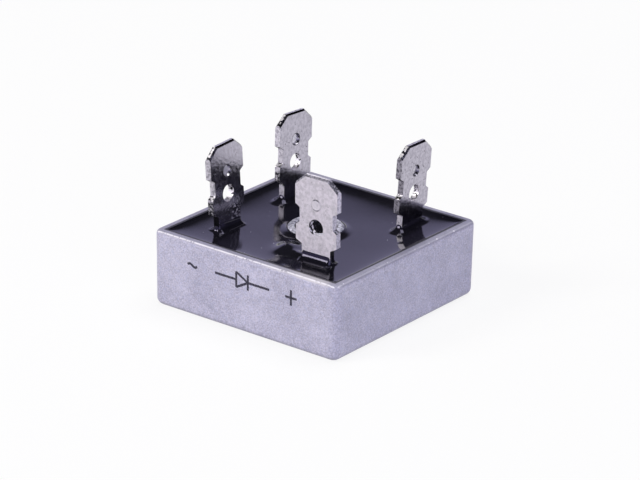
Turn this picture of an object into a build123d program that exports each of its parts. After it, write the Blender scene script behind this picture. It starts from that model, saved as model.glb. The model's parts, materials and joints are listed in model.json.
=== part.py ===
"""Single-phase bridge rectifier: a square metal can potted with black resin, with four upright tab terminals.

Millimetres, +Z up. The origin is on the base, at the middle of the screw hole. The marked side of the can
faces -Y, and the positive terminal stands in the +X, -Y corner, turned a quarter turn from the other three.
"""

import os
from collections import namedtuple
from math import radians, tan

from build123d import *

# Can
CASE_SIDE = 28.5  # outside, at the rim
CASE_HEIGHT = 9.85
CASE_WALL = 1.3  # at the rim
CASE_FLOOR = 2.0
CASE_DRAFT_DEG = 0.6  # the walls lean out towards the rim
CASE_CORNER_R = 1.2  # upright corners, at the base
CASE_BASE_R = 1.0  # edge round the base
CASE_RIM_R = 0.5  # outer edge of the rim
CAVITY_CORNER_R = 0.2
CAVITY_FLOOR_R = 0.15  # hollow edge round the floor, inside

# Screw tube in the middle of the can
SCREW_HOLE_D = 5.1  # clears an M5 screw
POST_WALL = 0.95
POST_EDGE_CHAMFER = 0.25  # both edges of the tube's upper end
HOLE_BASE_CHAMFER = 0.3

# Resin
POTTING_DEPTH = 0.5  # from the rim down to the resin
CREEP_RISE = 0.35  # how far the resin creeps up the wall and the tube
CREEP_FILM = 0.1  # resin left on the wall at the top of that creep
COLLAR_RISE = 0.7  # how far it creeps up each stem
COLLAR_LIP = 0.08  # upright edge above the hollow curve of that collar
COLLAR_FILM = 0.12
COLLAR_SINK = 0.02  # how far the collar's feather edge dips under the surface

# Tab terminals, with heights above the resin
TAB_THICKNESS = 0.8
TAB_WIDTH = 6.35
TAB_HEIGHT = 11.0
TAB_TIP_ACROSS = 1.42  # bevelled corners of the tip
TAB_TIP_DOWN = 1.22
TAB_LEAD_IN = 0.22  # bevel along the tip, on both faces
TAB_CORNER_R = 0.16  # stamped corners
WAIST_TOP = 7.05
WAIST_BOTTOM = 4.4
WAIST_WIDTH = 5.0
WAIST_RAMP = 0.4  # height of the slope at each end of the waist
SHOULDER_WIDTH = 6.13
SHOULDER_BOTTOM = 2.5
SHOULDER_RAMP = 0.45
STEM_WIDTH = 4.3
EYE_D = 2.15  # hole for a wire
EYE_HEIGHT = 4.54
DETENT_D = 1.5  # blind round dimple that a push-on connector snaps into
DETENT_FLOOR_D = 1.2
DETENT_DEPTH = 0.28
DETENT_BOSS = 0.08  # low boss that the dimple raises on the other face
DETENT_HEIGHT = 7.44

# Feet of the terminals, under the resin
BEND_R = 0.4  # inside of the bend
BEND_RELIEF = 0.2  # beside the bend
FOOT_WIDTH = 4.2
FOOT_OVERLAP = 2.0  # how far the strip of the bend runs on into the foot
FOOT_CLEARANCE = 1.0  # from the screw tube
NECK_TOP = 0.3  # the stem straightens between these two depths below the resin's surface
NECK_BOTTOM = 1.3

# Dies, and what lies under and over them
DIE_SIDE = 3.9
DIE_THICKNESS = 0.3
SOLDER_SIDE = 3.7
SOLDER_THICKNESS = 0.12
INSULATOR_THICKNESS = 0.63
INSULATOR_EDGE_GAP = 0.45  # to the hollow edge round the floor
INSULATOR_POST_GAP = 0.4
INSULATOR_CORNER_R = 1.0

# Stance of each terminal, as it was potted:
# corner of the can that it stands in, and out_x and out_y, how far the blade stands outside the middle of
# its foot's bend in the ring of feet; turn, the quarter turn of the blade; foot_side, 1 where the foot runs
# from the blade's back and -1 from its seen face; dimple_side, 1 where the dimple is in the seen face and -1
# where it is in the other; rise, how much higher than the rest the blade stands; then in degrees twist about
# the upright, lean along the blade, and tilt towards the seen face.
Stance = namedtuple("Stance", "corner out_x out_y turn foot_side dimple_side rise twist lean tilt")
STANCES = {
    "plus_terminal": Stance((1, -1), 0.04, 1.51, 0, 1, -1, -0.15, 0.0, -0.5, 0.5),
    "minus_terminal": Stance((-1, 1), 2.34, -0.02, 90, -1, 1, 0.15, -0.5, 3.0, -2.0),
    "ac_left_terminal": Stance((-1, -1), 2.05, -0.04, 90, -1, 1, 0.0, 1.5, -1.5, -3.0),
    "ac_right_terminal": Stance((1, 1), 1.55, 1.52, 90, 1, 1, -0.05, 2.0, 2.0, 2.0),
}
LOWER_FEET = ("plus_terminal", "minus_terminal")  # the other two lie on top of the dies

# Sizes that follow
CAVITY_SIDE = CASE_SIDE - 2 * CASE_WALL
POST_R = SCREW_HOLE_D / 2 + POST_WALL
POTTING_TOP = CASE_HEIGHT - POTTING_DEPTH
FOOT_LINE = POST_R + FOOT_CLEARANCE + FOOT_WIDTH / 2  # from the screw's axis to the middle of each foot
LOWER_FOOT = CASE_FLOOR + INSULATOR_THICKNESS
LOWER_SOLDER = LOWER_FOOT + TAB_THICKNESS
DIE = LOWER_SOLDER + SOLDER_THICKNESS
UPPER_SOLDER = DIE + DIE_THICKNESS
UPPER_FOOT = UPPER_SOLDER + SOLDER_THICKNESS
DIE_PLACES = [(0, -FOOT_LINE), (FOOT_LINE, 0), (-FOOT_LINE, 0), (0, FOOT_LINE)]


def make_case():
    """Can with its floor and the screw tube, in one piece."""
    base_side = CASE_SIDE - 2 * CASE_HEIGHT * tan(radians(CASE_DRAFT_DEG))
    body = extrude(RectangleRounded(base_side, base_side, CASE_CORNER_R), CASE_HEIGHT, taper=-CASE_DRAFT_DEG)
    body = fillet(body.faces().sort_by(Axis.Z)[0].edges(), CASE_BASE_R)
    body = fillet(body.faces().sort_by(Axis.Z)[-1].edges(), CASE_RIM_R)

    cavity = extrude(RectangleRounded(CAVITY_SIDE, CAVITY_SIDE, CAVITY_CORNER_R), CASE_HEIGHT - CASE_FLOOR)
    cavity = fillet(cavity.faces().sort_by(Axis.Z)[0].edges(), CAVITY_FLOOR_R)
    return body - Pos(0, 0, CASE_FLOOR) * cavity + make_screw_tube() - make_screw_hole()


def make_screw_tube():
    """Outside of the tube that the screw goes through, with its upper end bevelled."""
    tube = extrude(Pos(0, 0, CASE_FLOOR) * Circle(POST_R), CASE_HEIGHT - CASE_FLOOR)
    return chamfer(tube.faces().sort_by(Axis.Z)[-1].edges(), POST_EDGE_CHAMFER)


def make_screw_hole():
    """Through hole that is bevelled at both ends, as a solid to cut away."""
    hole_r = SCREW_HOLE_D / 2
    section = Polyline(
        (0, 0),
        (hole_r + HOLE_BASE_CHAMFER, 0),
        (hole_r, HOLE_BASE_CHAMFER),
        (hole_r, CASE_HEIGHT - POST_EDGE_CHAMFER),
        (hole_r + POST_EDGE_CHAMFER, CASE_HEIGHT),
        (0, CASE_HEIGHT),
        close=True,
    )
    return revolve(Plane.XZ * make_face(section), Axis.Z)


def make_insulating_plate():
    """Ceramic plate that lies on the can's floor, round the screw tube."""
    side = CAVITY_SIDE - 2 * (CAVITY_FLOOR_R + INSULATOR_EDGE_GAP)
    outline = RectangleRounded(side, side, INSULATOR_CORNER_R) - Circle(POST_R + INSULATOR_POST_GAP)
    return extrude(Pos(0, 0, CASE_FLOOR) * outline, INSULATOR_THICKNESS)


def stem_place(stance):
    """Where the middle of a terminal's stem comes out of the resin, square to the can."""
    x = stance.corner[0] * (FOOT_LINE + stance.out_x)
    y = stance.corner[1] * (FOOT_LINE + stance.out_y)
    return Pos(x, y, POTTING_TOP) * Rot(0, 0, stance.turn)


def blade_place(stance):
    """Place of a terminal's blade, with its own small rise, twist, lean and tilt."""
    place = stem_place(stance) * Pos(0, 0, stance.rise)
    return place * Rot(0, 0, stance.twist) * Rot(stance.tilt, 0, 0) * Rot(0, stance.lean, 0)


def tab_outline():
    """Outline of the blade, seen face towards -Y: stem, shoulder, waist and bevelled tip."""
    half = [
        (STEM_WIDTH / 2, -NECK_TOP),
        (STEM_WIDTH / 2, SHOULDER_BOTTOM - SHOULDER_RAMP),
        (SHOULDER_WIDTH / 2, SHOULDER_BOTTOM),
        (SHOULDER_WIDTH / 2, WAIST_BOTTOM),
        (WAIST_WIDTH / 2, WAIST_BOTTOM + WAIST_RAMP),
        (WAIST_WIDTH / 2, WAIST_TOP - WAIST_RAMP),
        (TAB_WIDTH / 2, WAIST_TOP),
        (TAB_WIDTH / 2, TAB_HEIGHT - TAB_TIP_DOWN),
        (TAB_WIDTH / 2 - TAB_TIP_ACROSS, TAB_HEIGHT),
    ]
    other_half = [(-across, up) for across, up in reversed(half)]
    outline = make_face(Polyline(*half, *other_half, close=True))
    stamped = [v for v in outline.vertices() if 0 < v.Y < TAB_HEIGHT - TAB_TIP_DOWN - TAB_CORNER_R]
    return fillet(stamped, TAB_CORNER_R)


def make_blade(dimple_side):
    """Upright part of a terminal above the neck, with its eye, its detent and the lead-in of its tip."""
    blade = extrude(Plane.XZ * tab_outline(), TAB_THICKNESS / 2, both=True)
    tip = [
        edge
        for face in (Axis.Y, -Axis.Y)
        for edge in blade.faces().sort_by(face)[-1].edges()
        if edge.center().Z > TAB_HEIGHT - TAB_TIP_DOWN
    ]
    blade = chamfer(tip, TAB_LEAD_IN)
    eye = Pos(0, 0, EYE_HEIGHT) * Rot(90, 0, 0) * Cylinder(EYE_D / 2, 2 * TAB_THICKNESS)
    detent = Rot(90 * dimple_side, 0, 0) * Cone(DETENT_FLOOR_D / 2, DETENT_D / 2, DETENT_DEPTH)
    detent = Pos(0, -dimple_side * (TAB_THICKNESS - DETENT_DEPTH) / 2, DETENT_HEIGHT) * detent
    boss = Rot(-90 * dimple_side, 0, 0) * Cone(DETENT_D / 2, DETENT_FLOOR_D / 2, DETENT_BOSS)
    boss = Pos(0, dimple_side * (TAB_THICKNESS + DETENT_BOSS) / 2, DETENT_HEIGHT) * boss
    return blade - eye - detent + boss


def make_stem(stance, foot_level):
    """Strip that turns up out of the foot, and the neck that brings it to the blade's own stance."""
    back = -stance.foot_side * TAB_THICKNESS / 2
    front = -back
    bend_end = stance.foot_side * (TAB_THICKNESS / 2 + BEND_R + FOOT_OVERLAP)
    foot_bottom = foot_level - POTTING_TOP
    foot_top = foot_bottom + TAB_THICKNESS
    section = make_face(
        Polyline(
            (back, -NECK_BOTTOM),
            (back, foot_bottom),
            (bend_end, foot_bottom),
            (bend_end, foot_top),
            (front, foot_top),
            (front, -NECK_BOTTOM),
            close=True,
        )
    )
    outside = section.vertices().sort_by_distance((back, foot_bottom))[0]
    section = fillet(outside, BEND_R + TAB_THICKNESS)
    inside = section.vertices().sort_by_distance((front, foot_top))[0]
    section = fillet(inside, BEND_R)
    strip = stem_place(stance) * extrude(Plane.YZ * section, STEM_WIDTH / 2, both=True)

    neck = loft(
        [
            stem_place(stance) * Pos(0, 0, -NECK_BOTTOM) * Rectangle(STEM_WIDTH, TAB_THICKNESS),
            blade_place(stance) * Pos(0, 0, -NECK_TOP) * Rectangle(STEM_WIDTH, TAB_THICKNESS),
        ],
        ruled=True,
    )
    return strip + neck


def make_foot(stance, foot_level):
    """Flat L that joins the terminal to the two dies beside its corner, cut back where the stem bends up."""
    side_x, side_y = stance.corner
    arm = FOOT_LINE + FOOT_WIDTH
    along_x = Pos(side_x * (arm / 2 - FOOT_WIDTH / 2), side_y * FOOT_LINE) * Rectangle(arm, FOOT_WIDTH)
    along_y = Pos(side_x * FOOT_LINE, side_y * (arm / 2 - FOOT_WIDTH / 2)) * Rectangle(FOOT_WIDTH, arm)
    foot = extrude(Pos(0, 0, foot_level) * (along_x + along_y), TAB_THICKNESS)

    bend_start = TAB_THICKNESS / 2 + BEND_R
    bend_room = Box(STEM_WIDTH + 2 * BEND_RELIEF, 2 * FOOT_LINE, 2 * POTTING_TOP)
    return foot - stem_place(stance) * Pos(0, stance.foot_side * (bend_start - FOOT_LINE), 0) * bend_room


def make_terminal(stance, foot_level):
    """Stamped and bent terminal in one piece: foot, stem, neck and blade."""
    blade = blade_place(stance) * make_blade(stance.dimple_side)
    return make_foot(stance, foot_level) + make_stem(stance, foot_level) + blade


def make_solder(place, level):
    """Thin layer of solder on one face of a die."""
    return extrude(Pos(*place, level) * Rectangle(SOLDER_SIDE, SOLDER_SIDE), SOLDER_THICKNESS)


def make_die(place):
    """Square silicon die."""
    return extrude(Pos(*place, DIE) * Rectangle(DIE_SIDE, DIE_SIDE), DIE_THICKNESS)


def collar_section(width):
    """Section of the resin that creeps up both sides of a stem of that width, in a hollow curve."""
    half = width / 2 + COLLAR_FILM
    curve = COLLAR_RISE - COLLAR_LIP
    sides = [
        CenterArc((half + curve, curve), curve, 180, 90),
        Polyline((half, curve), (half, COLLAR_RISE), (-half, COLLAR_RISE), (-half, curve)),
        CenterArc((-half - curve, curve), curve, 270, 90),
        Polyline((-half - curve, 0), (half + curve, 0)),
    ]
    return make_face(sides)


def make_collar():
    """Resin round the foot of a stem, hollow on all four sides."""
    across = extrude(Plane.XZ * collar_section(STEM_WIDTH), STEM_WIDTH, both=True)
    through = extrude(Plane.YZ * collar_section(TAB_THICKNESS), STEM_WIDTH, both=True)
    return across & through


def make_resin_fill():
    """All the room in the can up to the resin, with its creep at the wall, the tube and the stems."""
    outline = RectangleRounded(CAVITY_SIDE, CAVITY_SIDE, CAVITY_CORNER_R)
    fill = extrude(outline, POTTING_TOP + CREEP_RISE - CASE_FLOOR)
    fill = fillet(fill.faces().sort_by(Axis.Z)[0].edges(), CAVITY_FLOOR_R)
    fill = Pos(0, 0, CASE_FLOOR) * (fill - extrude(Circle(POST_R), CASE_HEIGHT))

    pool_side = CAVITY_SIDE - 2 * CREEP_FILM
    pool = Rectangle(pool_side, pool_side) - Circle(POST_R + CREEP_FILM)
    hollow = extrude(Pos(0, 0, POTTING_TOP) * pool, 2 * CREEP_RISE)
    fill -= chamfer(hollow.faces().sort_by(Axis.Z)[0].edges(), CREEP_RISE)
    for stance in STANCES.values():
        fill += stem_place(stance) * Pos(0, 0, -COLLAR_SINK) * make_collar()
    return fill


pieces = {"case": make_case(), "insulating_plate": make_insulating_plate()}
for name, stance in STANCES.items():
    pieces[name] = make_terminal(stance, LOWER_FOOT if name in LOWER_FEET else UPPER_FOOT)
for number, place in enumerate(DIE_PLACES, start=1):
    pieces[f"solder_under_die_{number}"] = make_solder(place, LOWER_SOLDER)
    pieces[f"diode_die_{number}"] = make_die(place)
    pieces[f"solder_over_die_{number}"] = make_solder(place, UPPER_SOLDER)

# The resin takes the room that everything in the can leaves
potting = make_resin_fill()
for name, piece in pieces.items():
    if name != "case":
        potting -= piece
pieces["potting"] = potting

os.makedirs("parts", exist_ok=True)
for name, piece in pieces.items():
    export_step(piece, f"parts/{name}.step")
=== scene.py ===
"""Looks of the bridge rectifier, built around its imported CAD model. Metres, in the row frame."""

import json
from math import cos, pi, radians, sin, tan

import bmesh
import bpy
import numpy as np
from mathutils import Matrix, Vector


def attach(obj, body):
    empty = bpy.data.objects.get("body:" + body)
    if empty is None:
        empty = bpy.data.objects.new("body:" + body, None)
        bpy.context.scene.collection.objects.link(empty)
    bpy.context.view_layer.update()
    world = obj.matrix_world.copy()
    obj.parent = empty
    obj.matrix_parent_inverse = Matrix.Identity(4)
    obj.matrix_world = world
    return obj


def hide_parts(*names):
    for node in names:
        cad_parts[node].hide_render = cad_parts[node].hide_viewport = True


MM = 0.001

# Camera, as fitted to the photograph's edges
CAMERA_AZIMUTH = 37.735  # degrees, from -Y towards +X
CAMERA_ELEVATION = 22.089
CAMERA_ROLL = 1.03
CAMERA_DISTANCE = 438.875  # mm
CAMERA_OFFSET = (-0.48, 2.615)  # mm, across and up the picture
CAMERA_TARGET_HEIGHT = 5.0  # mm
CAMERA_SENSOR = 36.0
CAMERA_LENS = 200.33
CAMERA_SHIFT = 0.0133
CAMERA_CLIP = 0.01  # m, where the view starts

# Stage and light
FLOOR_SIZE = 2.6  # m
BACKDROP_HEIGHT = 0.18  # m, of the low walls round the floor
FLOOR_COLOUR = (0.93, 0.93, 0.93)
BACKGROUND_SHARE = 0.86  # how much of the floor is plain white to the camera and to mirrors
SKY_LOW = (0.6, 0.57, 0.86)
SKY_HIGH = (0.05, 0.05, 0.06)
SKY_FALL = (0.375, 0.52)  # sine of the elevation where the sky starts and stops darkening
SKY_DIM_SIDE = (0.62, 0.78, 0.0)  # the surround is dimmer on this side
SKY_DIM_RANGE = (0.35, 0.8)
SKY_DIM_LEVEL = 0.15
LAMPS = {
    # name: (direction, distance in m, side in m, power in W, colour)
    "key": ((-0.45, -0.68, 0.58), 0.7, 0.25, 2.55, (1.0, 0.975, 0.89)),
    "fill": ((0.85, -0.4, 0.42), 0.8, 0.5, 1.75, (0.77, 0.77, 1.0)),
    "overhead": ((0.1, 0.25, 1.0), 0.8, 0.5, 3.4, (1.0, 1.0, 1.0)),
}

# The can and the resin, in mm, as the CAD model has them
CASE_HALF = 14.245
CASE_HEIGHT = 9.85
CASE_DRAFT = tan(radians(0.6))
CAVITY_HALF = 12.95
CAVITY_CORNER_R = 0.2
CAVITY_FLOOR = 2.0
TUBE_R = 3.5
RESIN_LEVEL = 9.35
STEM_HALF_WIDTH = 2.15
STEM_HALF_THICKNESS = 0.4
STEMS = {
    # node: (x, y, turn in degrees)
    "plus_terminal": (6.64, -8.11, 0.0),
    "minus_terminal": (-8.94, 6.58, 89.5),
    "ac_left_terminal": (-8.65, -6.56, 91.5),
    "ac_right_terminal": (8.15, 8.12, 92.0),
}

# Resin surface, in mm
RESIN_CELL = 0.12
RESIN_SEAT = 0.02  # how far it runs into the wall and the tube
RESIN_DISH = 0.2  # how far the middle lies under the CAD model's level
WALL_CREEP = [(0.14, 0.2), (0.14, 0.8), (0.36, 3.4)]  # rise and reach of each part of it
TUBE_CREEP = [(0.1, 0.3), (0.3, 1.2)]
CREEP_LIMIT = 1.5  # how far the creep's curve runs on inside the metal
STEM_ROUND = 0.2  # radius of the creep's corners at a stem
STEM_CORE = 0.02  # least radius, so that nothing is divided by 0 inside a stem
STEM_CREEP = {
    # node: rise, reach off the stem's ends and reach off its faces, of each part of it
    "plus_terminal": [(0.25, 0.2, 0.2), (0.9, 0.35, 1.15)],
    "minus_terminal": [(0.2, 0.2, 0.2), (0.6, 1.7, 1.0)],
    "ac_left_terminal": [(0.2, 0.15, 0.2), (0.6, 0.5, 1.0)],
    "ac_right_terminal": [(0.2, 0.2, 0.2), (0.6, 1.5, 1.0)],
}
RIPPLES = [
    # rise, wave numbers along X and Y, phase
    (0.010, 0.42, 0.23, 0.4),
    (0.008, -0.31, 0.55, 2.1),
    (0.004, 1.10, 0.90, 1.2),
]
DROPLETS = [
    # x, y, radius and rise of the humps in the resin, the lump beside the plus stem first
    (1.0, -6.7, 1.3, 0.45),
    (1.4, -8.0, 1.3, 0.33),
    (3.3, -7.9, 1.0, 0.25),
    (5.25, -9.62, 0.22, 0.10),
    (8.95, -8.52, 0.20, 0.09),
    (-8.23, -8.92, 0.16, 0.08),
    (-7.86, -8.60, 0.16, 0.08),
    (10.77, 3.03, 0.24, 0.10),
]

# Finish of the can: the ranges in mm over which one look gives way to the next
RIM_HEIGHT = (9.48, 9.68)  # where the rim's painted shade starts
SCRAPED_START = (1.0, 7.0)  # the pale, scraped part of the marked side's rim, along X
SCRAPED_END = (12.0, 13.4)
SCRAPED_DEPTH = (-13.0, -12.8)  # its inner bound, along Y
INNER_EDGE_SHADE_END = (13.2, 13.32)  # the painted shade along the rim's inner edge, off the can's middle
WORN_INNER = (13.86, 13.93)  # the worn line along the rim's outer edge, off the can's middle
WORN_OUTER = (14.04, 14.12)
WORN_HEIGHT = (9.55, 9.65)
WORN_SIDE = (-13.9, -13.2)  # where that line gets faint, along Y
BASE_SHADE_HEIGHT = (0.15, 0.8)  # height of the painted shade above the base edge
TUBE_END = (3.6, 3.8)  # radius of the rough end of the tube
BORE_WALL = (2.6, 2.68)  # radius of the dark wall of its hole

# Finish of the tabs, in the same way
FOOT_HEIGHT = (10.4, 15.0)  # where the foot's painted light gives way to the face's colour
STEM_TOP = (11.3, 11.5)
SHOULDER_TOP = (13.2, 13.6)
FILM_FADE = 0.3
FILM_RAGGED = 0.8  # how unevenly the film of resin ends
EYE_WALL = (1.12, 1.2)  # radii, off the middle of the eye, the detent or the patch of painted speckled highlights
DETENT_SHINE = (0.55, 0.65)
RING_INNER = (0.66, 0.72)
RING_OUTER = (0.78, 0.86)
SPARKLE_SPREAD = (0.4, 2.2)
BEVEL_SLOPE = (0.2, 0.45)  # upward share of the normals of the lead-in, the corner cuts and the tip
CUT_SLOPE = (0.4, 0.55)
TIP_SLOPE = (0.85, 0.95)
# dark tone: grime on the corner cuts and darker patches on the shoulder edges, also painted shade in the eye
# and round the detent
GRIME_AND_SHADE = (0.02, 0.02, 0.025)
FILM = (0.01, 0.01, 0.013)
BARE_TIN = (0.9, 0.87, 0.93)
# light tone of bright tin, also used for the painted highlight in the detent
BRIGHT_TIN_AND_HIGHLIGHT = (0.95, 0.93, 0.97)
BEVEL = ((0.06, 0.058, 0.075), (0.36, 0.345, 0.4))  # dark and light tone of the lead-in

# Looks of the tabs:
# face, foot: colours of the faces and of their foot, which is painted light where it is paler than the face
# satin, metallic: mean roughness and metallic share of the faces
# face_axis, front: the axis that the faces look along, and the way the front one looks
# film_top: height in mm of the film of resin on the edges
# pits, detent_highlight, ring: strength of the pits, and of the painted highlight in the detent and of the
# ring of painted shade about it
# side, cut: dark and light tones of the edges and of the corner cuts
# eye_dark: how much of the eye's wall is in painted shade
# stem, waist_darkening: colour of the painted highlight on a stem edge, and strength of the darker patches on
# the shoulder edges, where there is any
# grain: middle in mm of the patch of painted speckled highlights, where there is one
# eye, detent: their middles in mm
GREY_TIN = {
    "face": (0.5, 0.475, 0.56),
    "foot": (0.5, 0.475, 0.56),
    "satin": 0.15,
    "metallic": 1.0,
    "face_axis": 0,
    "front": 1.0,
    "film_top": 0.0,
    "pits": 0.85,
    "side": ((0.4, 0.38, 0.44), (0.7, 0.67, 0.74)),
    "cut": (GRIME_AND_SHADE, BRIGHT_TIN_AND_HIGHLIGHT),
    "eye_dark": 0.4,
    "detent_highlight": 0.6,
    "ring": 0.8,
    "stem": None,
    "waist_darkening": 0.95,
    "grain": None,
}
PALE_TIN = GREY_TIN | {
    "face": (0.67, 0.63, 0.68),
    # foot paler than the face: painted light
    "foot": (0.9, 0.85, 0.9),
    "satin": 0.45,
    "metallic": 0.12,
    "face_axis": 1,
    "front": -1.0,
    "pits": 0.4,
    "cut": BEVEL,
    "eye_dark": 0.5,
    "detent_highlight": 0.15,
    "ring": 0.1,
    "waist_darkening": None,
}
TABS = {
    "plus_terminal": PALE_TIN
    | {
        "eye": (6.6, -8.15, 13.74),
        "detent": (6.58, -8.18, 16.64),
        "film_top": 11.6,
    },
    "minus_terminal": GREY_TIN
    | {
        "eye": (-9.1, 6.82, 14.03),
        "detent": (-9.2, 6.97, 16.93),
    },
    "ac_left_terminal": GREY_TIN
    | {
        "eye": (-8.88, -6.69, 13.88),
        "detent": (-9.03, -6.77, 16.78),
        "film_top": 11.8,
        # darker edges on this tab: painted shade
        "side": ((0.26, 0.25, 0.29), (0.58, 0.555, 0.62)),
        # patch of painted speckled highlights
        "grain": (-8.8, -5.3, 11.5),
    },
    "ac_right_terminal": GREY_TIN
    | {
        "eye": (8.3, 8.28, 13.83),
        "detent": (8.4, 8.39, 16.73),
        # darker edges on this tab: painted shade
        "side": ((0.12, 0.115, 0.14), (0.5, 0.48, 0.54)),
        "detent_highlight": 0.15,
        "ring": 0.3,
        # white stem edge: painted highlight
        "stem": (0.95, 0.92, 0.97),
        "waist_darkening": None,
    },
}

# Pieces that the resin hides
HIDDEN = {
    # slot: dark and light tone, roughness, metallic share, grains per mm
    "ceramic": ((0.78, 0.76, 0.71), (0.9, 0.88, 0.84), 0.6, 0.0, 3.0),
    "silicon": ((0.1, 0.1, 0.13), (0.2, 0.2, 0.25), 0.2, 1.0, 2.0),
    "solder": ((0.42, 0.43, 0.45), (0.62, 0.62, 0.64), 0.35, 1.0, 2.0),
}

# Printed marks on the -Y side, in mm
INK_THICKNESS = 0.014
INK_SEAT = 0.004  # how far the ink runs into the metal
INK_STROKE = 0.32
INK_SPREAD = (0.42, 0.55)  # share of the stroke's width on either side of its middle
INK_STEP = 0.09  # spacing of the points along each stroke
PLUS_MARK = (7.4, 6.73, 1.75, 2.0)  # middle, width and height
WAVE_MARK = (-7.87, 6.81, 1.5, 0.17)  # middle, length and half height
WAVE_STEPS = 16
DIODE_MARK = (-0.1, 6.85, 8.4, 2.0)  # middle, length and height
DIODE_ARROW = 0.45  # half the arrow's length, as a share of its height
INK_SEED = 7


# Shader helpers


def add_node(tree, kind, inputs=None, **settings):
    """New node with the given settings; inputs maps socket names or numbers to values or other sockets."""
    node = tree.nodes.new(kind)
    for name, value in settings.items():
        setattr(node, name, value)
    for key, value in (inputs or {}).items():
        if isinstance(value, bpy.types.NodeSocket):
            tree.links.new(value, node.inputs[key])
        else:
            node.inputs[key].default_value = value
    return node


def start_material(name):
    """New material with its node tree and its Principled shader."""
    material = bpy.data.materials.new(name)
    material.use_nodes = True
    tree = material.node_tree
    return material, tree, tree.nodes["Principled BSDF"]


def place_in_mm(tree):
    """Place on the object, in mm."""
    place = add_node(tree, "ShaderNodeTexCoord").outputs["Object"]
    scale = (1 / MM, 1 / MM, 1 / MM)
    return add_node(tree, "ShaderNodeMapping", {"Vector": place, "Scale": scale}).outputs["Vector"]


def stretched(tree, vector, scale):
    """The same place, stretched along the axes."""
    return add_node(tree, "ShaderNodeMapping", {"Vector": vector, "Scale": scale}).outputs["Vector"]


def noise(tree, vector, scale, detail=3.0, roughness=0.55):
    """Noise from 0 to 1, with scale in features per mm."""
    inputs = {"Vector": vector, "Scale": scale, "Detail": detail, "Roughness": roughness}
    return add_node(tree, "ShaderNodeTexNoise", inputs).outputs["Fac"]


def specks(tree, vector, scale):
    """Distance to the nearest of scattered points, with scale in points per mm."""
    inputs = {"Vector": vector, "Scale": scale, "Randomness": 1.0}
    return add_node(tree, "ShaderNodeTexVoronoi", inputs).outputs["Distance"]


def remap(tree, value, low, high, to_low=0.0, to_high=1.0):
    """Smooth step from to_low to to_high while value goes from low to high."""
    inputs = {"Value": value, "From Min": low, "From Max": high, "To Min": to_low, "To Max": to_high}
    return add_node(tree, "ShaderNodeMapRange", inputs, interpolation_type="SMOOTHSTEP").outputs["Result"]


def calc(tree, operation, *values):
    """Math node."""
    inputs = dict(enumerate(values))
    return add_node(tree, "ShaderNodeMath", inputs, operation=operation).outputs[0]


def product(tree, first, *others):
    """Product of values."""
    for value in others:
        first = calc(tree, "MULTIPLY", first, value)
    return first


def band(tree, value, rise, fall):
    """1 between two ranges of value; it rises from 0 over the first and falls back over the second."""
    return product(tree, remap(tree, value, *rise), remap(tree, value, *fall, 1, 0))


def blend_colours(tree, share, first, second):
    """Colour that goes from first to second with share."""
    node = add_node(tree, "ShaderNodeMix", {0: share, 6: first, 7: second}, data_type="RGBA")
    return node.outputs[2]


def split(tree, vector):
    """X, Y and Z of a vector."""
    return add_node(tree, "ShaderNodeSeparateXYZ", {"Vector": vector}).outputs


def bump(tree, height, distance, strength=1.0):
    """Bumped normal; distance in metres."""
    inputs = {"Height": height, "Distance": distance, "Strength": strength}
    return add_node(tree, "ShaderNodeBump", inputs).outputs["Normal"]


def colour(r, g, b):
    """Opaque colour."""
    return (r, g, b, 1.0)


def tones(pair):
    """The dark and the light tone of a pair, as opaque colours."""
    return [colour(*tone) for tone in pair]


# Materials


def blasted_colour(tree, place, fine, middle, broad):
    """Colour of the blasted metal: fine speckle, blue tints and dark pits."""
    grain = calc(tree, "ADD", product(tree, fine, 0.62), product(tree, middle, 0.25))
    grain = calc(tree, "ADD", grain, product(tree, broad, 0.2))
    skin = blend_colours(
        tree, remap(tree, grain, 0.36, 0.7), colour(0.34, 0.327, 0.42), colour(0.62, 0.6, 0.71)
    )
    tints = remap(tree, noise(tree, place, 3.4, 2.0, 0.6), 0.45, 0.7, 0.0, 0.35)
    skin = blend_colours(tree, tints, skin, colour(0.4, 0.44, 0.64))
    pits = remap(tree, specks(tree, place, 1.1), 0.05, 0.1, 1, 0)
    pits = product(tree, pits, remap(tree, middle, 0.48, 0.6), 0.7)
    return blend_colours(tree, pits, skin, colour(0.13, 0.12, 0.18))


def add_rim_finish(tree, place, skin, broad):
    """The colour with painted shade on the rim and along its inner edge, the rim scraped pale in one part and
    worn along its outer edge.
    """
    x, y, z = split(tree, place)
    reach = calc(tree, "MAXIMUM", calc(tree, "ABSOLUTE", x), calc(tree, "ABSOLUTE", y))
    rim = remap(tree, z, *RIM_HEIGHT)
    # painted shade: the rim darkened
    skin = blend_colours(tree, product(tree, rim, 0.55), skin, colour(0.26, 0.25, 0.33))

    scraped = product(tree, rim, band(tree, x, SCRAPED_START, SCRAPED_END))
    scraped = product(tree, scraped, remap(tree, y, *SCRAPED_DEPTH, 1, 0))
    scraped = product(tree, scraped, remap(tree, broad, 0.3, 0.6, 0.3, 0.75))
    skin = blend_colours(tree, scraped, skin, colour(0.6, 0.575, 0.6))

    # painted shade: a dark band along the rim's inner edge
    inner_edge_shade = product(tree, rim, remap(tree, reach, *INNER_EDGE_SHADE_END, 1, 0), 0.9)
    skin = blend_colours(tree, inner_edge_shade, skin, colour(0.02, 0.02, 0.026))

    edge = product(tree, band(tree, reach, WORN_INNER, WORN_OUTER), remap(tree, z, *WORN_HEIGHT))
    line = remap(tree, noise(tree, place, 1.6, 4.0, 0.7), 0.34, 0.48)
    line = product(tree, line, remap(tree, y, *WORN_SIDE, 0.95, 0.25))
    dots = remap(tree, specks(tree, place, 1.3), 0.16, 0.26, 1, 0)
    worn = product(tree, edge, calc(tree, "MAXIMUM", line, dots))
    return blend_colours(tree, worn, skin, colour(0.92, 0.9, 0.95))


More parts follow.
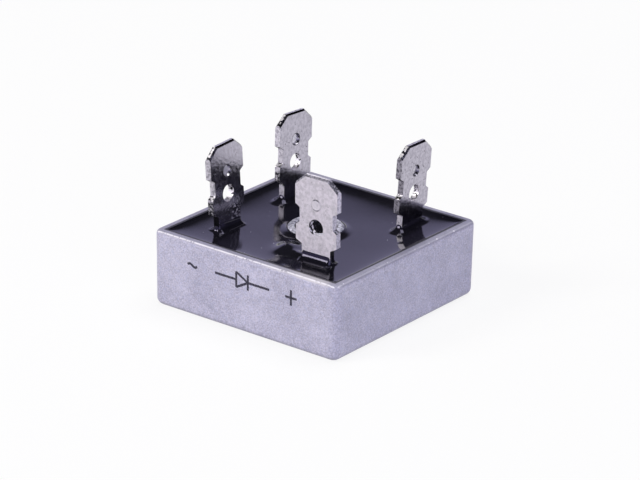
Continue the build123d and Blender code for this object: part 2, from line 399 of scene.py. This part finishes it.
def add_tube_finish(tree, place, skin):
    """The colour with the tube's rough end and the dark wall of its hole."""
    flat = stretched(tree, place, (1, 1, 0))
    radius = add_node(tree, "ShaderNodeVectorMath", {0: flat}, operation="LENGTH").outputs["Value"]
    grit = remap(tree, noise(tree, place, 2.4, 4.0, 0.7), 0.36, 0.64)
    end = blend_colours(tree, grit, colour(0.2, 0.2, 0.26), colour(0.8, 0.79, 0.88))
    skin = blend_colours(tree, remap(tree, radius, *TUBE_END, 1, 0), skin, end)
    flecks = remap(tree, grit, 0.6, 1.0)
    bore = blend_colours(tree, flecks, colour(0.008, 0.008, 0.012), colour(0.16, 0.155, 0.19))
    return blend_colours(tree, remap(tree, radius, *BORE_WALL, 1, 0), skin, bore)


def make_case_material():
    """Matt blasted light metal, with painted shade at its base edge."""
    material, tree, shader = start_material("case_blasted_metal")
    place = place_in_mm(tree)
    fine = noise(tree, place, 5.0, 2.0, 0.6)
    middle = noise(tree, place, 1.3, 3.0)
    broad = noise(tree, place, 0.22, 2.0)
    skin = blasted_colour(tree, place, fine, middle, broad)
    skin = add_rim_finish(tree, place, skin, broad)
    # painted shade: darker towards the base edge, where the can meets the floor
    base_shade = remap(tree, split(tree, place)[2], *BASE_SHADE_HEIGHT, 0.55, 0.0)
    skin = blend_colours(tree, base_shade, skin, colour(0.16, 0.15, 0.2))
    skin = add_tube_finish(tree, place, skin)
    tree.links.new(skin, shader.inputs["Base Color"])
    tree.links.new(remap(tree, middle, 0.3, 0.7, 0.45, 0.62), shader.inputs["Roughness"])
    shader.inputs["Metallic"].default_value = 0.2
    rough = calc(tree, "ADD", fine, product(tree, middle, 0.8))
    tree.links.new(bump(tree, rough, 0.03 * MM, 0.6), shader.inputs["Normal"])
    return material


def make_resin_material():
    """Black potting resin, glossy, with faint flow marks and a little dust."""
    material, tree, shader = start_material("resin_black_gloss")
    place = place_in_mm(tree)
    flow = noise(tree, place, 0.5, 2.0)
    dust = remap(tree, specks(tree, place, 0.9), 0.04, 0.09, 1, 0)
    dust = product(tree, dust, remap(tree, flow, 0.46, 0.56), 0.7)
    tint = blend_colours(tree, flow, colour(0.004, 0.004, 0.006), colour(0.010, 0.009, 0.014))
    tint = blend_colours(tree, dust, tint, colour(0.5, 0.5, 0.56))
    tree.links.new(tint, shader.inputs["Base Color"])
    upright = split(tree, add_node(tree, "ShaderNodeNewGeometry").outputs["Normal"])[2]
    level = remap(tree, upright, 0.975, 0.995)
    haze = remap(tree, noise(tree, place, 1.5), 0.3, 0.7, 0.09, 0.15)
    haze = calc(tree, "MAXIMUM", product(tree, level, haze), 0.05)
    tree.links.new(haze, shader.inputs["Roughness"])
    shader.inputs["IOR"].default_value = 1.47
    shader.inputs["Specular Tint"].default_value = colour(0.72, 0.68, 1.0)
    tree.links.new(bump(tree, noise(tree, place, 2.2, 2.0), 0.004 * MM, 0.5), shader.inputs["Normal"])
    return material


def distance_on_tab(tree, place, middle, face_axis):
    """Distance from a point of a tab, measured along the tab's faces."""
    flat = [1.0, 1.0, 1.0]
    flat[face_axis] = 0.0
    inputs = {0: stretched(tree, place, flat), 1: [m * f for m, f in zip(middle, flat)]}
    return add_node(tree, "ShaderNodeVectorMath", inputs, operation="DISTANCE").outputs["Value"]


def tin_face_colour(tree, place, look, mottle, shine):
    """Colour of a tab's faces: mottled, pitted, with a painted highlight in the detent and a ring of painted
    shade about it.
    """
    # painted light: the foot's colour, paler on some tabs, gives way to the face's upwards
    height = remap(tree, split(tree, place)[2], *FOOT_HEIGHT)
    face = blend_colours(tree, height, colour(*look["foot"]), colour(*look["face"]))
    face = blend_colours(tree, remap(tree, mottle, 0.3, 0.68, 0.28, 0.0), face, colour(0.02, 0.02, 0.03))
    pits = remap(tree, specks(tree, place, 2.0), 0.12, 0.24, 1, 0)
    pits = product(tree, pits, remap(tree, noise(tree, place, 0.8, 2.0), 0.4, 0.55), look["pits"])
    face = blend_colours(tree, pits, face, colour(0.06, 0.055, 0.075))

    face = blend_colours(tree, shine, face, colour(*BRIGHT_TIN_AND_HIGHLIGHT))
    distance = distance_on_tab(tree, place, look["detent"], look["face_axis"])
    # painted shade: a dark ring about the detent
    ring = product(tree, band(tree, distance, RING_INNER, RING_OUTER), look["ring"])
    return blend_colours(tree, ring, face, colour(*GRIME_AND_SHADE))


def tin_faces(tree, place, look, normal, mottle):
    """Colour and metallic share of a tab's faces, with the painted highlight in the detent and any patch of
    painted speckled highlights.
    """
    front = product(tree, normal[look["face_axis"]], look["front"])
    distance = distance_on_tab(tree, place, look["detent"], look["face_axis"])
    # painted highlight: a pale, less metallic disc in the detent, strongest on the face turned to the front
    shine = remap(tree, distance, *DETENT_SHINE, look["detent_highlight"], 0.0)
    shine = product(tree, shine, remap(tree, front, 0.0, 0.5, 0.25, 1.0))
    skin = tin_face_colour(tree, place, look, mottle, shine)
    metal = calc(tree, "SUBTRACT", look["metallic"], product(tree, shine, look["metallic"]))
    if look["grain"]:
        distance = distance_on_tab(tree, place, look["grain"], look["face_axis"])
        # painted highlights: pale speckles, only on the face turned to the front
        grains = remap(tree, distance, *SPARKLE_SPREAD, 0.9, 0.0)
        grains = product(tree, grains, remap(tree, noise(tree, place, 3.4, 3.0, 0.7), 0.5, 0.62))
        grains = product(tree, grains, remap(tree, front, 0.5, 0.85))
        skin = blend_colours(tree, grains, skin, colour(0.6, 0.58, 0.63))
        metal = calc(tree, "SUBTRACT", metal, grains)
    return skin, metal


def tin_side_colour(tree, z, look, torn):
    """Colour of a tab's long edges: torn, with a painted highlight on some stems and darker patches on some
    shoulders, and a film of resin below.
    """
    side = blend_colours(tree, remap(tree, torn, 0.35, 0.6), *tones(look["side"]))
    if look["stem"]:
        # painted highlight: a white stem edge
        bright = product(tree, remap(tree, torn, 0.3, 0.5), remap(tree, z, *STEM_TOP, 1, 0))
        side = blend_colours(tree, bright, side, colour(*look["stem"]))
    if look["waist_darkening"]:
        # darker patches on the shoulder edges
        waist_darkening = remap(tree, torn, 0.44, 0.66, look["waist_darkening"], 0.0)
        waist_darkening = product(tree, band(tree, z, STEM_TOP, SHOULDER_TOP), waist_darkening)
        side = blend_colours(tree, waist_darkening, side, colour(*GRIME_AND_SHADE))
    ragged = calc(tree, "ADD", z, product(tree, torn, FILM_RAGGED))
    film = remap(tree, ragged, look["film_top"], look["film_top"] + FILM_FADE, 1, 0)
    return blend_colours(tree, film, side, colour(*FILM))


def tin_edge_colour(tree, place, look, torn, level):
    """Colour of all a tab's sheared edges: the long ones, the flecked corner cuts and the eye's wall, patched
    with painted shade.
    """
    side = tin_side_colour(tree, split(tree, place)[2], look, torn)
    flecks = noise(tree, place, 2.6, 1.0)
    cut = blend_colours(tree, remap(tree, flecks, 0.47, 0.54), *tones(look["cut"]))
    side = blend_colours(tree, band(tree, level, CUT_SLOPE, TIP_SLOPE), side, cut)
    # painted shade on the eye's wall, among flecks of bare tin
    bare = remap(tree, flecks, look["eye_dark"], look["eye_dark"] + 0.06)
    wall = blend_colours(tree, bare, colour(*GRIME_AND_SHADE), colour(*BARE_TIN))
    distance = distance_on_tab(tree, place, look["eye"], look["face_axis"])
    return blend_colours(tree, remap(tree, distance, *EYE_WALL, 1, 0), side, wall)


def make_tin_material(name, look):
    """Tin-plated sheet metal, faintly brushed upwards, with a dark lead-in and rougher sheared edges."""
    material, tree, shader = start_material(name)
    place = place_in_mm(tree)
    normal = split(tree, add_node(tree, "ShaderNodeNewGeometry").outputs["True Normal"])
    level = calc(tree, "ABSOLUTE", normal[2])
    sheared = remap(tree, calc(tree, "ABSOLUTE", normal[look["face_axis"]]), 0.3, 0.6, 1.0, 0.0)
    brushed = noise(tree, stretched(tree, place, (1.0, 1.0, 0.08)), 9.0, 2.0)
    mottle = noise(tree, place, 2.4, 3.0)
    torn = noise(tree, place, 3.0, 3.0, 0.65)

    skin, metal = tin_faces(tree, place, look, normal, mottle)
    bevel = blend_colours(tree, remap(tree, torn, 0.4, 0.66), *tones(BEVEL))
    skin = blend_colours(tree, remap(tree, level, *BEVEL_SLOPE), skin, bevel)
    skin = blend_colours(tree, sheared, skin, tin_edge_colour(tree, place, look, torn, level))
    tip = blend_colours(tree, remap(tree, torn, 0.35, 0.6), colour(0.45, 0.43, 0.48), colour(*BARE_TIN))
    skin = blend_colours(tree, remap(tree, level, *TIP_SLOPE), skin, tip)
    tree.links.new(skin, shader.inputs["Base Color"])
    tree.links.new(metal, shader.inputs["Metallic"])

    grit = remap(tree, mottle, 0.3, 0.7, look["satin"] * 0.75, look["satin"] * 1.3)
    grit = calc(tree, "ADD", grit, product(tree, sheared, 0.35))
    tree.links.new(grit, shader.inputs["Roughness"])
    relief = calc(tree, "ADD", product(tree, brushed, 0.5), mottle)
    relief = calc(tree, "ADD", relief, product(tree, sheared, torn, 2.0))
    tree.links.new(bump(tree, relief, 0.018 * MM, 0.6), shader.inputs["Normal"])
    return material


def make_plain_material(name, dark, light, roughness, metallic, scale):
    """Fine-grained material for the pieces that the resin hides."""
    material, tree, shader = start_material(name)
    place = place_in_mm(tree)
    grain = noise(tree, place, scale)
    mixed = blend_colours(tree, remap(tree, grain, 0.3, 0.7), colour(*dark), colour(*light))
    tree.links.new(mixed, shader.inputs["Base Color"])
    tree.links.new(remap(tree, grain, 0.3, 0.7, roughness * 0.8, roughness * 1.2), shader.inputs["Roughness"])
    shader.inputs["Metallic"].default_value = metallic
    tree.links.new(bump(tree, grain, 0.01 * MM, 0.4), shader.inputs["Normal"])
    return material


def make_ink_material():
    """Dark stamped ink, thin in places."""
    material, tree, shader = start_material("ink_violet_black")
    place = place_in_mm(tree)
    thin = noise(tree, place, 4.0, 3.0, 0.65)
    worn = remap(tree, thin, 0.5, 0.75)
    mixed = blend_colours(tree, worn, colour(0.02, 0.017, 0.035), colour(0.11, 0.1, 0.16))
    tree.links.new(mixed, shader.inputs["Base Color"])
    tree.links.new(remap(tree, thin, 0.3, 0.7, 0.5, 0.7), shader.inputs["Roughness"])
    tree.links.new(bump(tree, thin, 0.01 * MM, 0.5), shader.inputs["Normal"])
    return material


# Pieces


def add_piece(name, mesh, material, smooth=False):
    """New object of the part that rides on its only body."""
    piece = bpy.data.objects.new(name, mesh)
    bpy.context.scene.collection.objects.link(piece)
    mesh.materials.append(material)
    for polygon in mesh.polygons:
        polygon.use_smooth = smooth
    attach(piece, "root")
    return piece


def distance_to_wall(x, y):
    """Distance inside the can's wall, in mm; negative outside it."""
    straight = CAVITY_HALF - CAVITY_CORNER_R
    over_x = np.abs(x) - straight
    over_y = np.abs(y) - straight
    corner = np.hypot(np.maximum(over_x, 0), np.maximum(over_y, 0))
    return CAVITY_CORNER_R - corner - np.minimum(np.maximum(over_x, over_y), 0)


def fade(distance, reach):
    """1 at no distance, falling away over the reach."""
    return np.exp(-np.maximum(distance, 0) / reach)


def hollow(share):
    """Hollow curve that falls from 1 to 0 while share goes from 0 to 1, and runs on a little inside."""
    return np.clip(1 - share, 0, CREEP_LIMIT) ** 2


def wall_creep(x, y):
    """Rise of the resin towards the four walls, which blend in the corners."""
    total = 0
    for rise, reach in WALL_CREEP:
        flat = (1 - fade(CAVITY_HALF - x, reach)) * (1 - fade(CAVITY_HALF + x, reach))
        flat = flat * (1 - fade(CAVITY_HALF - y, reach)) * (1 - fade(CAVITY_HALF + y, reach))
        total = total + rise * (1 - flat)
    return total


def tube_creep(x, y):
    """Rise of the resin towards the screw tube."""
    distance = np.hypot(x, y) - TUBE_R
    return sum(rise * hollow(distance / reach) for rise, reach in TUBE_CREEP)


def stem_creep(x, y, name):
    """Rise of the resin towards one stem, rounded at its corners."""
    middle_x, middle_y, turn = STEMS[name]
    c, s = cos(radians(turn)), sin(radians(turn))
    along = np.abs((x - middle_x) * c + (y - middle_y) * s) - (STEM_HALF_WIDTH - STEM_ROUND)
    through = np.abs((y - middle_y) * c - (x - middle_x) * s) - (STEM_HALF_THICKNESS - STEM_ROUND)
    along, through = np.maximum(along, 0), np.maximum(through, 0)
    radius = np.maximum(np.hypot(along, through), STEM_CORE)
    total = 0
    for rise, end_reach, face_reach in STEM_CREEP[name]:
        per_mm = np.hypot(along / end_reach, through / face_reach) / radius
        total = total + rise * hollow((radius - STEM_ROUND) * per_mm)
    return total


def resin_height(x, y):
    """Height of the resin's surface, in mm."""
    height = RESIN_LEVEL - RESIN_DISH + wall_creep(x, y) + tube_creep(x, y)
    for name in STEMS:
        height = height + stem_creep(x, y, name)
    for rise, wave_x, wave_y, phase in RIPPLES:
        height = height + rise * np.sin(wave_x * x + wave_y * y + phase)
    for drop_x, drop_y, radius, rise in DROPLETS:
        height = height + rise * np.exp(-((x - drop_x) ** 2 + (y - drop_y) ** 2) / radius**2)
    return height


def snap_to_bounds(x, y):
    """Nearest place on the tube's side or the can's wall, a little inside the metal."""
    radius = np.hypot(x, y)
    if radius < 2 * TUBE_R:
        share = (TUBE_R - RESIN_SEAT) / radius
        return x * share, y * share
    straight = CAVITY_HALF - CAVITY_CORNER_R
    reach = CAVITY_CORNER_R + RESIN_SEAT
    over = Vector((max(abs(x) - straight, 0), max(abs(y) - straight, 0)))
    over = over.normalized() * reach
    near_x = over.x + straight if over.x else abs(x)
    near_y = over.y + straight if over.y else abs(y)
    return np.copysign(near_x, x), np.copysign(near_y, y)


def make_resin_mesh():
    """Closed block of resin with a finely meshed surface that creeps up the metal."""
    count = round(2 * CAVITY_HALF / RESIN_CELL)
    line = np.linspace(-CAVITY_HALF, CAVITY_HALF, count + 1)
    grid_x, grid_y = np.meshgrid(line, line, indexing="ij")
    slack = RESIN_CELL / 2
    kept = (distance_to_wall(grid_x, grid_y) > -slack) & (np.hypot(grid_x, grid_y) > TUBE_R - slack)

    surface = bmesh.new()
    points = {}
    for i, j in zip(*np.nonzero(kept)):
        points[i, j] = surface.verts.new((grid_x[i, j], grid_y[i, j], 0))
    for i, j in list(points):
        corners = [(i, j), (i + 1, j), (i + 1, j + 1), (i, j + 1)]
        if all(corner in points for corner in corners):
            surface.faces.new([points[corner] for corner in corners])
    loose = [point for point in surface.verts if not point.link_faces]
    bmesh.ops.delete(surface, geom=loose, context="VERTS")

    for point in surface.verts:
        if point.is_boundary:
            point.co.x, point.co.y = snap_to_bounds(point.co.x, point.co.y)
    places = np.array([point.co for point in surface.verts])
    heights = resin_height(places[:, 0], places[:, 1])
    for point, height in zip(surface.verts, heights):
        point.co.z = height
    close_below(surface)
    bmesh.ops.scale(surface, vec=(MM, MM, MM), verts=surface.verts)
    mesh = bpy.data.meshes.new("resin_fill")
    surface.to_mesh(mesh)
    surface.free()
    return mesh


def close_below(surface):
    """Sides and a flat underside, which make a closed block of the surface."""
    rims = [edge for edge in surface.edges if edge.is_boundary]
    lower = bmesh.ops.extrude_edge_only(surface, edges=rims)["geom"]
    for item in lower:
        if isinstance(item, bmesh.types.BMVert):
            item.co.z = CAVITY_FLOOR
    edges = [item for item in lower if isinstance(item, bmesh.types.BMEdge) and item.is_boundary]
    bmesh.ops.bridge_loops(surface, edges=edges)
    bmesh.ops.recalc_face_normals(surface, faces=surface.faces)


def face_point(across, up, proud):
    """Point on the can's marked side, in metres."""
    depth = CASE_HALF - (CASE_HEIGHT - up) * CASE_DRAFT + proud
    return Vector((across, -depth, up)) * MM


def add_stroke(mesh, path, draw):
    """Inked line along path, of uneven width, as a thin raised strip."""
    runs = [Vector(b) - Vector(a) for a, b in zip(path, path[1:])]
    points, sides = [], []
    for start, run in zip(path, runs):
        steps = max(1, round(run.length / INK_STEP))
        for step in range(steps):
            points.append(Vector(start) + run * (step / steps))
            sides.append(Vector((-run.y, run.x)).normalized())
    points.append(Vector(path[-1]))
    sides.append(sides[-1])
    rows = []
    for point, side in zip(points, sides):
        left = point + side * INK_STROKE * draw.uniform(*INK_SPREAD)
        right = point - side * INK_STROKE * draw.uniform(*INK_SPREAD)
        row = [face_point(*corner, proud) for proud in (INK_THICKNESS, -INK_SEAT) for corner in (left, right)]
        rows.append([mesh.verts.new(corner) for corner in row])
    for (a, b, c, d), (e, f, g, h) in zip(rows, rows[1:]):
        for corners in ((a, b, f, e), (c, g, h, d), (a, e, g, c), (b, d, h, f)):
            mesh.faces.new(corners)
    for a, b, c, d in (rows[0], rows[-1]):
        mesh.faces.new((a, c, d, b))


def mark_strokes():
    """Lines of the plus sign, the wave and a plain diode sign, as paths across the marked side."""
    x, z, width, height = PLUS_MARK
    strokes = {}
    strokes["mark_plus"] = [
        [(x - width / 2, z), (x + width / 2, z)],
        [(x, z - height / 2), (x, z + height / 2)],
    ]
    x, z, length, half = WAVE_MARK
    turns = [step / WAVE_STEPS for step in range(WAVE_STEPS + 1)]
    strokes["mark_wave"] = [[(x + length * (t - 0.5), z + half * sin(2 * pi * t)) for t in turns]]
    x, z, length, height = DIODE_MARK
    low, high = z - height / 2, z + height / 2
    tip, back = x + height * DIODE_ARROW, x - height * DIODE_ARROW
    strokes["mark_diode"] = [
        [(x - length / 2, z), (back, z)],
        [(back, low), (tip, z), (back, high), (back, low)],
        [(tip, low), (tip, high)],
        [(tip, z), (x + length / 2, z)],
    ]
    return strokes


def make_marks(ink):
    """The printed marks, one piece each."""
    draw = np.random.default_rng(INK_SEED)
    for name, paths in mark_strokes().items():
        print_mesh = bmesh.new()
        for path in paths:
            add_stroke(print_mesh, path, draw)
        bmesh.ops.recalc_face_normals(print_mesh, faces=print_mesh.faces)
        mesh = bpy.data.meshes.new(name)
        print_mesh.to_mesh(mesh)
        print_mesh.free()
        add_piece(name, mesh, ink)


def dress(node, material):
    """Gives a CAD node its material."""
    slots = frame["nodes"][node].data.materials
    slots.clear()
    slots.append(material)


def dress_nodes():
    """Materials of all the CAD nodes, the hidden ones too."""
    by_slot = {"case_metal": make_case_material()}
    for slot, look in HIDDEN.items():
        by_slot[slot] = make_plain_material(slot, *look)
    for row in frame["record"]["subparts"]:
        if row["material_slot"] in by_slot:
            dress(row["node"], by_slot[row["material_slot"]])
    for node, look in TABS.items():
        dress(node, make_tin_material(f"tin_{node}", look))


# Stage


def make_camera():
    """Camera at the photograph's place."""
    a, e, r = radians(CAMERA_AZIMUTH), radians(CAMERA_ELEVATION), radians(CAMERA_ROLL)
    back = Vector((sin(a) * cos(e), -cos(a) * cos(e), sin(e)))
    level = Vector((cos(a), sin(a), 0))
    upright = back.cross(level)
    right = level * cos(r) + upright * sin(r)
    up = upright * cos(r) - level * sin(r)
    place = back * CAMERA_DISTANCE + right * CAMERA_OFFSET[0] + up * CAMERA_OFFSET[1]
    place.z += CAMERA_TARGET_HEIGHT

    data = bpy.data.cameras.new("photo_camera")
    data.sensor_width = CAMERA_SENSOR
    data.lens = CAMERA_LENS
    data.shift_x = CAMERA_SHIFT
    data.clip_start = CAMERA_CLIP
    camera = bpy.data.objects.new("photo_camera", data)
    bpy.context.scene.collection.objects.link(camera)
    turn = Matrix((right, up, back)).transposed().to_4x4()
    camera.matrix_world = Matrix.Translation(place * MM) @ turn
    bpy.context.scene.camera = camera


def background_rays(tree):
    """1 for rays that show the background: from the camera, from mirrors and through glass."""
    path = add_node(tree, "ShaderNodeLightPath").outputs
    seen = calc(tree, "MAXIMUM", path["Is Camera Ray"], path["Is Glossy Ray"])
    return calc(tree, "MAXIMUM", seen, path["Is Transmission Ray"])


def make_floor():
    """Plain white floor that keeps the part's shadow, with low walls round it for level views."""
    mesh = bpy.data.meshes.new("floor")
    half = FLOOR_SIZE / 2
    low = [(-half, -half, 0), (half, -half, 0), (half, half, 0), (-half, half, 0)]
    high = [(x, y, BACKDROP_HEIGHT) for x, y, _ in low]
    walls = [(i, (i + 1) % 4, (i + 1) % 4 + 4, i + 4) for i in range(4)]
    mesh.from_pydata(low + high, [], [(0, 1, 2, 3), *walls])
    floor = bpy.data.objects.new("floor", mesh)
    bpy.context.scene.collection.objects.link(floor)
    material, tree, shader = start_material("floor_white")
    shader.inputs["Base Color"].default_value = colour(*FLOOR_COLOUR)
    shader.inputs["Roughness"].default_value = 1.0
    shader.inputs["Specular IOR Level"].default_value = 0.0
    white = add_node(tree, "ShaderNodeEmission", {"Color": colour(1, 1, 1), "Strength": 1.0})
    share = calc(tree, "MULTIPLY", background_rays(tree), BACKGROUND_SHARE)
    mixed = add_node(tree, "ShaderNodeMixShader", {0: share, 1: shader.outputs[0], 2: white.outputs[0]})
    tree.links.new(mixed.outputs[0], tree.nodes["Material Output"].inputs["Surface"])
    mesh.materials.append(material)


def make_sky():
    """Pale surround, bright at the horizon and dim overhead."""
    world = bpy.data.worlds.new("studio")
    bpy.context.scene.world = world
    world.use_nodes = True
    tree = world.node_tree
    direction = add_node(tree, "ShaderNodeTexCoord").outputs["Generated"]
    rise = remap(tree, split(tree, direction)[2], *SKY_FALL)
    sky = blend_colours(tree, rise, colour(*SKY_LOW), colour(*SKY_HIGH))
    side = add_node(tree, "ShaderNodeVectorMath", {0: direction, 1: SKY_DIM_SIDE}, operation="DOT_PRODUCT")
    level = remap(tree, side.outputs["Value"], *SKY_DIM_RANGE, 1.0, SKY_DIM_LEVEL)
    tree.links.new(sky, tree.nodes["Background"].inputs["Color"])
    tree.links.new(level, tree.nodes["Background"].inputs["Strength"])


def make_lamps():
    """Soft boxes that look at the part."""
    for name, (direction, distance, side, power, tint) in LAMPS.items():
        data = bpy.data.lights.new(name, "AREA")
        data.size = side
        data.energy = power
        data.color = tint
        lamp = bpy.data.objects.new(name, data)
        bpy.context.scene.collection.objects.link(lamp)
        towards = Vector(direction).normalized()
        turn = towards.to_track_quat("Z", "Y").to_matrix().to_4x4()
        lamp.matrix_world = Matrix.Translation(towards * distance) @ turn


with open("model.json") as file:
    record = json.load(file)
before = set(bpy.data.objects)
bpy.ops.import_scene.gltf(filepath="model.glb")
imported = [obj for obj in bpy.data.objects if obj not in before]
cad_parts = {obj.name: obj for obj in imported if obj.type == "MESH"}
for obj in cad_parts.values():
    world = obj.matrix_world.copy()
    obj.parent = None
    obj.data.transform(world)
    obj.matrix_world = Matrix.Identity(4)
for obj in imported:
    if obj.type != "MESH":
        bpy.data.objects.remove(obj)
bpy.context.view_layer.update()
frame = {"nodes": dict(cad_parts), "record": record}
bpy.context.scene.view_settings.view_transform = "Standard"

dress_nodes()
resin = add_piece("resin_fill", make_resin_mesh(), make_resin_material(), smooth=True)
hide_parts("potting")
make_marks(make_ink_material())

make_floor()
make_sky()
make_lamps()
make_camera()
